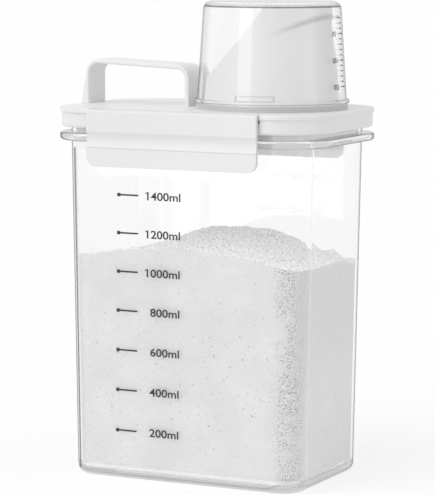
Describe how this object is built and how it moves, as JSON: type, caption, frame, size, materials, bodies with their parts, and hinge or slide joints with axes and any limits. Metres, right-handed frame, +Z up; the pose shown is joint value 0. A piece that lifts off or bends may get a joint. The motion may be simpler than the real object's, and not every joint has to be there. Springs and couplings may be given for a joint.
{
  "type": "washing powder dispenser bottle",
  "caption": "Clear drafted container for washing powder with a white locking lid, a carrying handle, a pouring spout and a clear measuring cup over the spout.",
  "frame": {"origin": "middle of the container's foot, on the surface it stands on", "axes": "+Z up, +X from the handle towards the spout, -Y towards the front with the scale"},
  "size_m": [0.1494, 0.1064, 0.2435],
  "materials": {
    "clear_container": "clear, polished",
    "clear_cup": "clear, polished",
    "white_lid": "satin white",
    "white_latch": "satin white",
    "silicone": "translucent matt",
    "powder": "fine white granules"
  },
  "bodies": {
    "bottle": {"container": "clear_container", "lid": "white_lid", "lid_seal": "silicone", "washing_powder": "powder"},
    "front_latch": {"front_latch": "white_latch"},
    "rear_latch": {"rear_latch": "white_latch"},
    "measuring_cup": {"measuring_cup": "clear_cup"}
  },
  "joints": [
    {"name": "front_latch_hinge", "type": "hinge", "parent": "bottle", "child": "front_latch", "pos_m": [0, -0.04723, 0.18725], "axis": [-1, 0, 0], "range_deg": [0, 110]},
    {"name": "rear_latch_hinge", "type": "hinge", "parent": "bottle", "child": "rear_latch", "pos_m": [0, 0.04723, 0.18725], "axis": [1, 0, 0], "range_deg": [0, 110]},
    {"name": "cup_lift", "type": "slide", "parent": "bottle", "child": "measuring_cup", "axis": [0, 0, 1], "range_m": [0, 0.08]}
  ]
}
